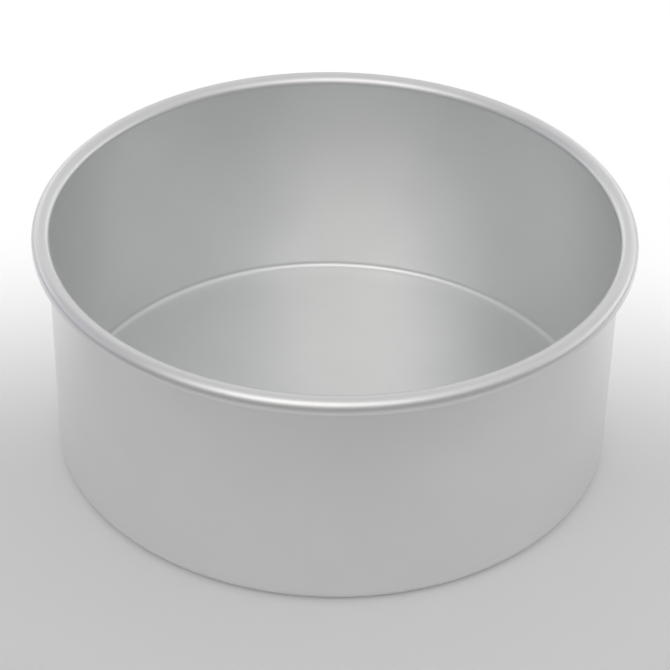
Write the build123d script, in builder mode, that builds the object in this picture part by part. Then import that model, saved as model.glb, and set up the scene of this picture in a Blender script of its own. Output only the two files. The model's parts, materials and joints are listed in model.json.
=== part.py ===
from build123d import *
import math
import os

# A deep round cake tin with straight sides, drawn and spun from one disc of anodised
# aluminium sheet. Its rim is the same sheet, rolled outwards into a hollow curl.
# Millimetres, +Z up, with the origin at the centre of the underside of the base.

# The tin's sizes
inner_diameter = 228.6  # between the inner walls, nine inches
tin_height = 101.6  # from the underside to the top of the curl, four inches
sheet_thickness = 1.2
corner_inner_radius = 3.0  # where the floor turns up into the wall, inside

# The curled rim's sizes
curl_diameter = 7.7  # over the outside of the roll
curl_wall_gap = 0.3  # between the rolled edge and the wall, where wash water drains

# The wall and the corner between the wall and the floor
wall_inner_radius = inner_diameter / 2
wall_outer_radius = wall_inner_radius + sheet_thickness
corner_outer_radius = corner_inner_radius + sheet_thickness
floor_radius = wall_inner_radius - corner_inner_radius

# The curl turns about a centre that puts its inner side in line with the inner wall
curl_outer_radius = curl_diameter / 2
curl_inner_radius = curl_outer_radius - sheet_thickness
curl_middle_radius = curl_outer_radius - sheet_thickness / 2
curl_centre_radius = wall_inner_radius + curl_outer_radius
curl_centre_height = tin_height - curl_outer_radius
curl_centre = (curl_centre_radius, curl_centre_height)

# The sheet's rounded edge stops short of the outer wall by the gap
edge_radius = sheet_thickness / 2
edge_centre_radius = wall_outer_radius + curl_wall_gap + edge_radius
edge_cosine = (edge_centre_radius - curl_centre_radius) / curl_middle_radius
curl_start_angle = 180
curl_end_angle = -math.degrees(math.acos(edge_cosine))
curl_sweep = curl_start_angle - curl_end_angle

with BuildPart() as tin_body:
    with BuildSketch(Plane.XZ):
        with BuildLine():
            underside = Line((0, 0), (floor_radius, 0))
            outer_corner = CenterArc((floor_radius, corner_outer_radius), corner_outer_radius, -90, 90)
            outer_wall = Line(outer_corner @ 1, (wall_outer_radius, curl_centre_height))
            curl_inside = CenterArc(curl_centre, curl_inner_radius, curl_start_angle, -curl_sweep)
            curl_outside = CenterArc(curl_centre, curl_outer_radius, curl_end_angle, curl_sweep)
            rolled_edge = TangentArc(curl_inside @ 1, curl_outside @ 0, tangent=curl_inside % 1)
            inner_wall = Line(curl_outside @ 1, (wall_inner_radius, corner_outer_radius))
            inner_corner = CenterArc((floor_radius, corner_outer_radius), corner_inner_radius, 0, -90)
            floor = Line(inner_corner @ 1, (0, sheet_thickness))
            centre_line = Line(floor @ 1, underside @ 0)
        make_face()
    revolve(axis=Axis.Z)

os.makedirs("parts", exist_ok=True)
tin_body.part.label = "tin_body"
export_step(tin_body.part, "parts/tin_body.step")

print("curl turns", round(curl_sweep, 1), "degrees; outside diameter", tin_body.part.bounding_box().size.X)
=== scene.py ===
import json
import math

import bmesh
import bpy
from mathutils import Matrix, Vector


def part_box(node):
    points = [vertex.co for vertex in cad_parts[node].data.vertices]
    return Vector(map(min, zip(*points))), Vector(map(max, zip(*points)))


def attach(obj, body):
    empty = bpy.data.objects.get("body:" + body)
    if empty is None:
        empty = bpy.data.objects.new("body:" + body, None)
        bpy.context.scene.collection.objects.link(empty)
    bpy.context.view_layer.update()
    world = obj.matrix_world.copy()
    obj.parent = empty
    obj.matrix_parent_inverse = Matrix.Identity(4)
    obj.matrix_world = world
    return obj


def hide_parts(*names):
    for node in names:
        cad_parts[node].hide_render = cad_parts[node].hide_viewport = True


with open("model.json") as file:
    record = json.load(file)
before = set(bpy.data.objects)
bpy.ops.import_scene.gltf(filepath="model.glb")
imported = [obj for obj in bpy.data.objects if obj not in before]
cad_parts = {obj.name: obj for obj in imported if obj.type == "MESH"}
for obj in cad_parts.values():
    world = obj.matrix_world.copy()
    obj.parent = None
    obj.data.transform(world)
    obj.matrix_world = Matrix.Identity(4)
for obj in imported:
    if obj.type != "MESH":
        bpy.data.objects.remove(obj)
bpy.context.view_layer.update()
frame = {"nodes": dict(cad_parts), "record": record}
print("frame loaded:", len(frame["nodes"]), "node")

# The tin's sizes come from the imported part: its box, and the mounts in its record
mounts = {mount["name"]: mount for mount in frame["record"]["mounts"]}
wallMount = mounts["cavity_wall"]
tinLow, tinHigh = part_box("tin_body")
tinHeight = tinHigh.z
rimRadius = tinHigh.x
sheet = mounts["inner_floor"]["pos_m"][2]
innerRadius = wallMount["dims"]["r_mm"] / 1000
outerRadius = innerRadius + sheet
cornerTop = wallMount["pos_m"][2] - wallMount["dims"]["length_mm"] / 2000
cornerRadius = cornerTop - sheet  # inside
curlRadius = (rimRadius - innerRadius) / 2
curlCentre = Vector((innerRadius + curlRadius, 0, tinHeight - curlRadius))

# How finely the tin is made
tinMesh = {
    "turnSteps": 384,  # round the axis
    "curlSteps": 56,  # along the rolled rim
    "cornerSteps": 14,  # round the base's corner
    "wallRows": 12,
    "floorRings": 10,
    "flatMargin": 0.0006,  # a row this wide keeps a curve's shading off the flat beside it
    "curlWallGap": 0.0003,  # between the rolled edge and the wall
    "edgeSteps": 5,  # round the sheet's edge, under the rim
    "edgeRoundShare": 0.47,  # of the sheet's thickness
    "sharpTurn": math.radians(60),  # only the sheet's cut edge turns more than this
    "weldShare": 0.001,  # of the sheet's thickness: points nearer than this are one
}

# The finish: matt silver anodising over etched sheet
finish = {
    "silver": (0.845, 0.857, 0.854, 1),
    "silverShade": (0.827, 0.84, 0.838, 1),
    "bareSilver": (0.868, 0.873, 0.87, 1),  # where the film is rubbed thin
    "roughness": 0.38,
    "cloudSize": 0.045,  # soft patches in the film
    "cloudDetail": 3.0,
    "cloudEdge": (0.3, 0.7),  # the noise's values between which a patch fades in
    "cloudRoughness": 0.03,
    "grainSize": 0.00045,  # the etched surface
    "grainDepth": 0.000006,
    "grainDetail": 1.0,
    "ringSpacing": 0.0014,  # faint lines that the forming tool left round the axis
    "ringDepth": 0.000003,
    "ringRoughness": 0.02,
    "ringDetail": 3.0,
    "ringBreakUp": 0.6,
    "wearShare": 0.5,  # on the rolled rim and under the base's corner, where it is handled
    "wearRoughness": -0.02,
    "rimWear": (-0.003, 0.0),  # above the rim's top: where the wear starts, and where it is full
    "footWear": (-0.0005, 0.001),  # the same, below the top of the sheet that makes the floor
    "rubScale": 260.0,  # the noise that breaks the wear up
    "rubDetail": 4.0,
    "rubEdge": (0.42, 0.68),
}

# Where the camera stood
cameraPlace = {
    "back": 0.8064,
    "up": 0.6274,
    "tiltDown": math.radians(35.877),
    "panRight": math.radians(0.05),
    "roll": math.radians(1.106),
    "lens": 128.4,
}


def linkPiece(name, mesh, material):
    data = bpy.data.meshes.new(name)
    mesh.to_mesh(data)
    mesh.free()
    data.shade_smooth()
    data.materials.append(material)
    piece = bpy.data.objects.new(name, data)
    bpy.context.scene.collection.objects.link(piece)
    return piece


def drawSheet(mesh):
    # the sheet's inner side, in the XZ plane: floor, corner, wall and the outside of the roll
    margin = tinMesh["flatMargin"]
    route = [
        (0, 0, sheet),
        (innerRadius - cornerRadius - margin, 0, sheet),
        (innerRadius, 0, sheet),
        (innerRadius, 0, cornerTop + margin),
        (innerRadius, 0, curlCentre.z - margin),
        (innerRadius, 0, curlCentre.z),
    ]
    points = [mesh.verts.new(place) for place in route]
    lines = [mesh.edges.new(pair) for pair in zip(points, points[1:])]
    # the roll turns over and down until its edge is the gap away from the wall
    edgeCentre = outerRadius + tinMesh["curlWallGap"] + sheet / 2
    middleRadius = curlRadius - sheet / 2
    turn = math.pi + math.acos((edgeCentre - curlCentre.x) / middleRadius)
    turn += sheet / 2 / middleRadius  # for the edge's own rounding
    bmesh.ops.spin(
        mesh, geom=[points[-1]], cent=curlCentre, axis=(0, 1, 0), angle=turn,
        steps=tinMesh["curlSteps"], dvec=(0, 0, 0),
    )
    bmesh.ops.bevel(
        mesh, geom=[points[2]], affect="VERTICES", offset=cornerRadius,
        segments=tinMesh["cornerSteps"], profile=0.5, material=-1,
    )
    bmesh.ops.subdivide_edges(mesh, edges=[lines[0]], cuts=tinMesh["floorRings"])
    bmesh.ops.subdivide_edges(mesh, edges=[lines[3]], cuts=tinMesh["wallRows"])


def makeTin(material):
    mesh = bmesh.new()
    drawSheet(mesh)
    bmesh.ops.spin(
        mesh, geom=mesh.verts[:] + mesh.edges[:], cent=(0, 0, 0), axis=(0, 0, 1),
        angle=2 * math.pi, steps=tinMesh["turnSteps"], use_merge=True, dvec=(0, 0, 0),
    )
    bmesh.ops.remove_doubles(mesh, verts=mesh.verts[:], dist=sheet * tinMesh["weldShare"])
    bmesh.ops.recalc_face_normals(mesh, faces=mesh.faces[:])
    bmesh.ops.solidify(mesh, geom=mesh.faces[:], thickness=sheet)
    cutEdges = [edge for edge in mesh.edges if edge.calc_face_angle() > tinMesh["sharpTurn"]]
    bmesh.ops.bevel(
        mesh, geom=cutEdges, affect="EDGES", offset=sheet * tinMesh["edgeRoundShare"],
        segments=tinMesh["edgeSteps"], profile=0.5, material=-1,
    )
    return linkPiece("cake_tin", mesh, material)


def addNode(tree, kind, values=None, settings=None, **wires):
    # a node with its settings, its sockets' values, and the sockets that feed it
    node = tree.nodes.new(kind)
    for name, setting in (settings or {}).items():
        setattr(node, name, setting)
    for socket, value in (values or {}).items():
        node.inputs[socket].default_value = value
    for socket, source in wires.items():
        tree.links.new(source, node.inputs[socket])
    return node


def maths(tree, operation, *terms):
    node = tree.nodes.new("ShaderNodeMath")
    node.operation = operation
    for socket, value in zip(node.inputs, terms):
        if isinstance(value, bpy.types.NodeSocket):
            tree.links.new(value, socket)
        else:
            socket.default_value = value
    return node.outputs["Value"]


def mapRange(tree, value, given, wanted=(0.0, 1.0), smooth=False):
    node = tree.nodes.new("ShaderNodeMapRange")
    node.interpolation_type = "SMOOTHSTEP" if smooth else "LINEAR"
    for socket, limit in zip(("From Min", "From Max", "To Min", "To Max"), (*given, *wanted)):
        node.inputs[socket].default_value = limit
    tree.links.new(value, node.inputs["Value"])
    return node.outputs["Result"]


def newGroup(name, inputs, outputs):
    group = bpy.data.node_groups.new(name, "ShaderNodeTree")
    for label, kind in inputs.items():
        group.interface.new_socket(label, in_out="INPUT", socket_type=kind)
    for label, kind in outputs.items():
        group.interface.new_socket(label, in_out="OUTPUT", socket_type=kind)
    return group, group.nodes.new("NodeGroupInput"), group.nodes.new("NodeGroupOutput")


def filmCloudsGroup():
    # broad soft patches, as anodising leaves them
    group, given, put = newGroup(
        "filmClouds", {"Vector": "NodeSocketVector", "Scale": "NodeSocketFloat"},
        {"Patches": "NodeSocketFloat"},
    )
    noise = addNode(
        group, "ShaderNodeTexNoise", {"Detail": finish["cloudDetail"]},
        Vector=given.outputs["Vector"], Scale=given.outputs["Scale"],
    )
    patches = mapRange(group, noise.outputs["Fac"], finish["cloudEdge"], smooth=True)
    group.links.new(patches, put.inputs["Patches"])
    return group


def formingRingsGroup():
    # rings round the axis: on the floor they follow the radius, on the wall the height
    group, given, put = newGroup(
        "formingRings", {"Vector": "NodeSocketVector", "Scale": "NodeSocketFloat"},
        {"Rings": "NodeSocketFloat"},
    )
    flat = addNode(
        group, "ShaderNodeVectorMath", {1: (1, 1, 0)}, {"operation": "MULTIPLY"},
        Vector=given.outputs["Vector"],
    )
    radius = addNode(
        group, "ShaderNodeVectorMath", None, {"operation": "LENGTH"}, Vector=flat.outputs["Vector"],
    )
    height = addNode(group, "ShaderNodeSeparateXYZ", Vector=given.outputs["Vector"])
    profile = addNode(
        group, "ShaderNodeCombineXYZ", X=radius.outputs["Value"], Z=height.outputs["Z"],
    )
    lines = addNode(
        group, "ShaderNodeTexNoise", {"Detail": finish["ringDetail"], "Roughness": finish["ringBreakUp"]},
        Vector=profile.outputs["Vector"], Scale=given.outputs["Scale"],
    )
    group.links.new(lines.outputs["Fac"], put.inputs["Rings"])
    return group


def etchedGrainGroup():
    # the fine even pitting that etching gives before the film goes on
    group, given, put = newGroup(
        "etchedGrain", {"Vector": "NodeSocketVector", "Scale": "NodeSocketFloat"},
        {"Grain": "NodeSocketFloat"},
    )
    grain = addNode(
        group, "ShaderNodeTexNoise", {"Detail": finish["grainDetail"]},
        Vector=given.outputs["Vector"], Scale=given.outputs["Scale"],
    )
    group.links.new(grain.outputs["Fac"], put.inputs["Grain"])
    return group


def handlingWearGroup():
    # most on top of the rolled rim and at the base's corner, broken up by noise
    group, given, put = newGroup(
        "handlingWear",
        {"Vector": "NodeSocketVector", "Rim Height": "NodeSocketFloat", "Foot Height": "NodeSocketFloat"},
        {"Wear": "NodeSocketFloat"},
    )
    height = addNode(group, "ShaderNodeSeparateXYZ", Vector=given.outputs["Vector"]).outputs["Z"]
    aboveRim = maths(group, "SUBTRACT", height, given.outputs["Rim Height"])
    rim = mapRange(group, aboveRim, finish["rimWear"])
    belowFoot = maths(group, "SUBTRACT", given.outputs["Foot Height"], height)
    foot = mapRange(group, belowFoot, finish["footWear"])
    places = maths(group, "MAXIMUM", rim, foot)
    rubs = addNode(
        group, "ShaderNodeTexNoise", {"Scale": finish["rubScale"], "Detail": finish["rubDetail"]},
        Vector=given.outputs["Vector"],
    )
    broken = mapRange(group, rubs.outputs["Fac"], finish["rubEdge"])
    wear = maths(group, "MULTIPLY", places, broken)
    group.links.new(wear, put.inputs["Wear"])
    return group


def placeGroup(tree, group, values, vector):
    node = addNode(tree, "ShaderNodeGroup", None, {"node_tree": group}, Vector=vector)
    for socket, value in values.items():
        node.inputs[socket].default_value = value
    return node


def anodisedAluminium():
    material = bpy.data.materials.new("anodised_aluminium")
    material.use_nodes = True
    tree = material.node_tree
    shader = tree.nodes["Principled BSDF"]
    shader.inputs["Metallic"].default_value = 1
    place = addNode(tree, "ShaderNodeTexCoord").outputs["Object"]
    clouds = placeGroup(tree, filmCloudsGroup(), {"Scale": 1 / finish["cloudSize"]}, place)
    rings = placeGroup(tree, formingRingsGroup(), {"Scale": 1 / finish["ringSpacing"]}, place)
    grain = placeGroup(tree, etchedGrainGroup(), {"Scale": 1 / finish["grainSize"]}, place)
    wear = placeGroup(
        tree, handlingWearGroup(), {"Rim Height": tinHeight, "Foot Height": sheet}, place,
    )
    clouds, rings = clouds.outputs["Patches"], rings.outputs["Rings"]
    grain, wear = grain.outputs["Grain"], wear.outputs["Wear"]

    film = addNode(
        tree, "ShaderNodeMix", {"A": finish["silver"], "B": finish["silverShade"]},
        {"data_type": "RGBA"}, Factor=clouds,
    )
    worn = maths(tree, "MULTIPLY", wear, finish["wearShare"])
    silver = addNode(
        tree, "ShaderNodeMix", {"B": finish["bareSilver"]}, {"data_type": "RGBA"},
        Factor=worn, A=film.outputs["Result"],
    )
    tree.links.new(silver.outputs["Result"], shader.inputs["Base Color"])

    clouded = maths(tree, "MULTIPLY_ADD", clouds, finish["cloudRoughness"], finish["roughness"])
    ringed = maths(tree, "MULTIPLY_ADD", rings, finish["ringRoughness"], clouded)
    rubbed = maths(tree, "MULTIPLY_ADD", worn, finish["wearRoughness"], ringed)
    tree.links.new(rubbed, shader.inputs["Roughness"])

    ringBump = addNode(tree, "ShaderNodeBump", {"Distance": finish["ringDepth"]}, Height=rings)
    grainBump = addNode(
        tree, "ShaderNodeBump", {"Distance": finish["grainDepth"]},
        Height=grain, Normal=ringBump.outputs["Normal"],
    )
    tree.links.new(grainBump.outputs["Normal"], shader.inputs["Normal"])
    return material


# The floor is pale, with a painted pool of light on it that turns to white behind the tin: the floor's
# colour is lighter inside the pool, and a painted glow there rises towards the back. The glow adds to the
# lit floor only for the camera and for what the metal mirrors, so it lights nothing else. Past the pool,
# out of the picture, the floor's colour is darker, a painted shade, because the tin's outside mirrors it.
floorSheet = {
    "size": 4.0,
    "below": 0.0003,
    "colour": (0.74, 0.74, 0.742, 1),
    # painted shade: the floor's colour past the painted pool of light
    "paintedShadeColour": (0.42, 0.42, 0.42, 1),
    "roughness": 0.9,
    "gloss": 0.1,
    "glowColour": (1, 1, 1, 1),
    # the painted pool of light: its centre, its radius, and the width of its soft edge
    "poolCentre": (0, 0.25, 0),
    "poolRadius": 0.41,
    "poolEdge": 0.24,
    "glow": (0.06, 0.48),  # the painted glow's strength: in front of the tin, and behind it
    "glowPlace": (-0.05, 0.14),  # where the painted glow starts to rise, and where it is full, along Y
}


def makeFloor():
    mesh = bmesh.new()
    bmesh.ops.create_grid(mesh, x_segments=1, y_segments=1, size=floorSheet["size"])
    bmesh.ops.translate(mesh, verts=mesh.verts[:], vec=(0, 0, -floorSheet["below"]))
    material = bpy.data.materials.new("pale_floor")
    material.use_nodes = True
    tree = material.node_tree
    shader = tree.nodes["Principled BSDF"]
    shader.inputs["Roughness"].default_value = floorSheet["roughness"]
    shader.inputs["Specular IOR Level"].default_value = floorSheet["gloss"]
    shader.inputs["Emission Color"].default_value = floorSheet["glowColour"]
    place = addNode(tree, "ShaderNodeTexCoord").outputs["Object"]
    away = addNode(
        tree, "ShaderNodeVectorMath", {1: floorSheet["poolCentre"]}, {"operation": "DISTANCE"},
        Vector=place,
    )
    poolRadius = floorSheet["poolRadius"]
    # painted pool of light: the floor's colour is lighter inside this mask, and past it the darker colour
    # is painted shade
    paintedPoolMask = mapRange(tree, away.outputs["Value"], (poolRadius + floorSheet["poolEdge"], poolRadius))
    colour = addNode(
        tree, "ShaderNodeMix", {"A": floorSheet["paintedShadeColour"], "B": floorSheet["colour"]},
        {"data_type": "RGBA"}, Factor=paintedPoolMask,
    )
    tree.links.new(colour.outputs["Result"], shader.inputs["Base Color"])

    rays = addNode(tree, "ShaderNodeLightPath").outputs
    seen = maths(tree, "MAXIMUM", rays["Is Camera Ray"], rays["Is Glossy Ray"])
    seen = maths(tree, "MAXIMUM", seen, rays["Is Transmission Ray"])
    depth = addNode(tree, "ShaderNodeSeparateXYZ", Vector=place).outputs["Y"]
    # painted glow: the floor glows more behind the tin than in front, only inside the painted pool of
    # light
    rise = mapRange(tree, depth, floorSheet["glowPlace"], floorSheet["glow"], smooth=True)
    glow = maths(tree, "MULTIPLY", maths(tree, "MULTIPLY", seen, paintedPoolMask), rise)
    tree.links.new(glow, shader.inputs["Emission Strength"])
    floor = linkPiece("floor", mesh, material)


# Each softbox: where it stands seen from the tin (turn from the camera's side, then rise, in
# degrees, and distance), its width and height, how bright its face is, and its tint
white = (1, 1, 1)
softboxes = {
    "front_core": (-10, 48, 1.4, 0.6, 0.5, 0.5, (1, 0.9, 0.8)),
    "front_middle": (-10, 48, 1.4, 1.2, 0.8, 0.65, (1, 0.95, 0.85)),
    "front_broad": (-10, 46, 1.5, 2.6, 1.3, 0.4, white),
    "front_left": (-40, 45, 1.4, 1.0, 0.9, 0.2, white),
    "front_right": (40, 45, 1.4, 1.0, 0.9, 0.2, white),
    "overhead": (0, 89.9, 1.3, 1.6, 1.6, 0.25, white),
    "left_low": (-100, 14, 1.4, 1.4, 0.6, 0.3, (0.8, 0.85, 1)),
    "right_low": (100, 14, 1.4, 1.4, 0.6, 0.6, white),
    "rear_left": (-140, 14, 1.4, 1.4, 0.6, 0.6, white),
    "rear_right": (140, 14, 1.4, 1.4, 0.6, 0.6, white),
    "rear": (180, 14, 1.4, 1.8, 0.6, 0.3, white),
    "rear_high": (180, 42, 1.4, 2.2, 1.0, 0.3, white),
    "left_high": (-90, 45, 1.3, 1.6, 0.9, 0.1, white),
    "right_high": (90, 45, 1.3, 1.6, 0.9, 0.25, white),
}
roomLight = (0.38, 0.37, 0.38, 1)


def placeSoftboxes():
    target = Vector((0, 0, tinHeight / 2))
    for name, (turn, rise, distance, width, height, brightness, tint) in softboxes.items():
        lamp = bpy.data.lights.new(name, "AREA")
        lamp.shape = "ELLIPSE"
        lamp.size = width
        lamp.size_y = height
        lamp.color = tint
        face = math.pi / 4 * width * height
        lamp.energy = math.pi * face * brightness
        holder = bpy.data.objects.new(name, lamp)
        bpy.context.scene.collection.objects.link(holder)
        turn, rise = math.radians(turn), math.radians(rise)
        away = Vector((math.cos(rise) * math.sin(turn), -math.cos(rise) * math.cos(turn), math.sin(rise)))
        holder.location = target + away * distance
        holder.rotation_euler = away.to_track_quat("Z", "Y").to_euler()
        holder.visible_camera = False


def lightRoom():
    world = bpy.data.worlds.new("room")
    bpy.context.scene.world = world
    world.use_nodes = True
    world.node_tree.nodes["Background"].inputs["Color"].default_value = roomLight


def placeCamera():
    data = bpy.data.cameras.new("camera")
    data.lens = cameraPlace["lens"]
    camera = bpy.data.objects.new("camera", data)
    bpy.context.scene.collection.objects.link(camera)
    camera.matrix_world = (
        Matrix.Translation((0, -cameraPlace["back"], cameraPlace["up"]))
        @ Matrix.Rotation(-cameraPlace["panRight"], 4, "Z")
        @ Matrix.Rotation(math.pi / 2 - cameraPlace["tiltDown"], 4, "X")
        @ Matrix.Rotation(cameraPlace["roll"], 4, "Z")
    )
    bpy.context.scene.camera = camera


bpy.context.scene.view_settings.view_transform = "Standard"
placeCamera()
tin = makeTin(anodisedAluminium())
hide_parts("tin_body")
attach(tin, "root")
print("tin made:", len(tin.data.polygons), "faces")

makeFloor()
placeSoftboxes()
lightRoom()
print("floor, softboxes and room light placed")
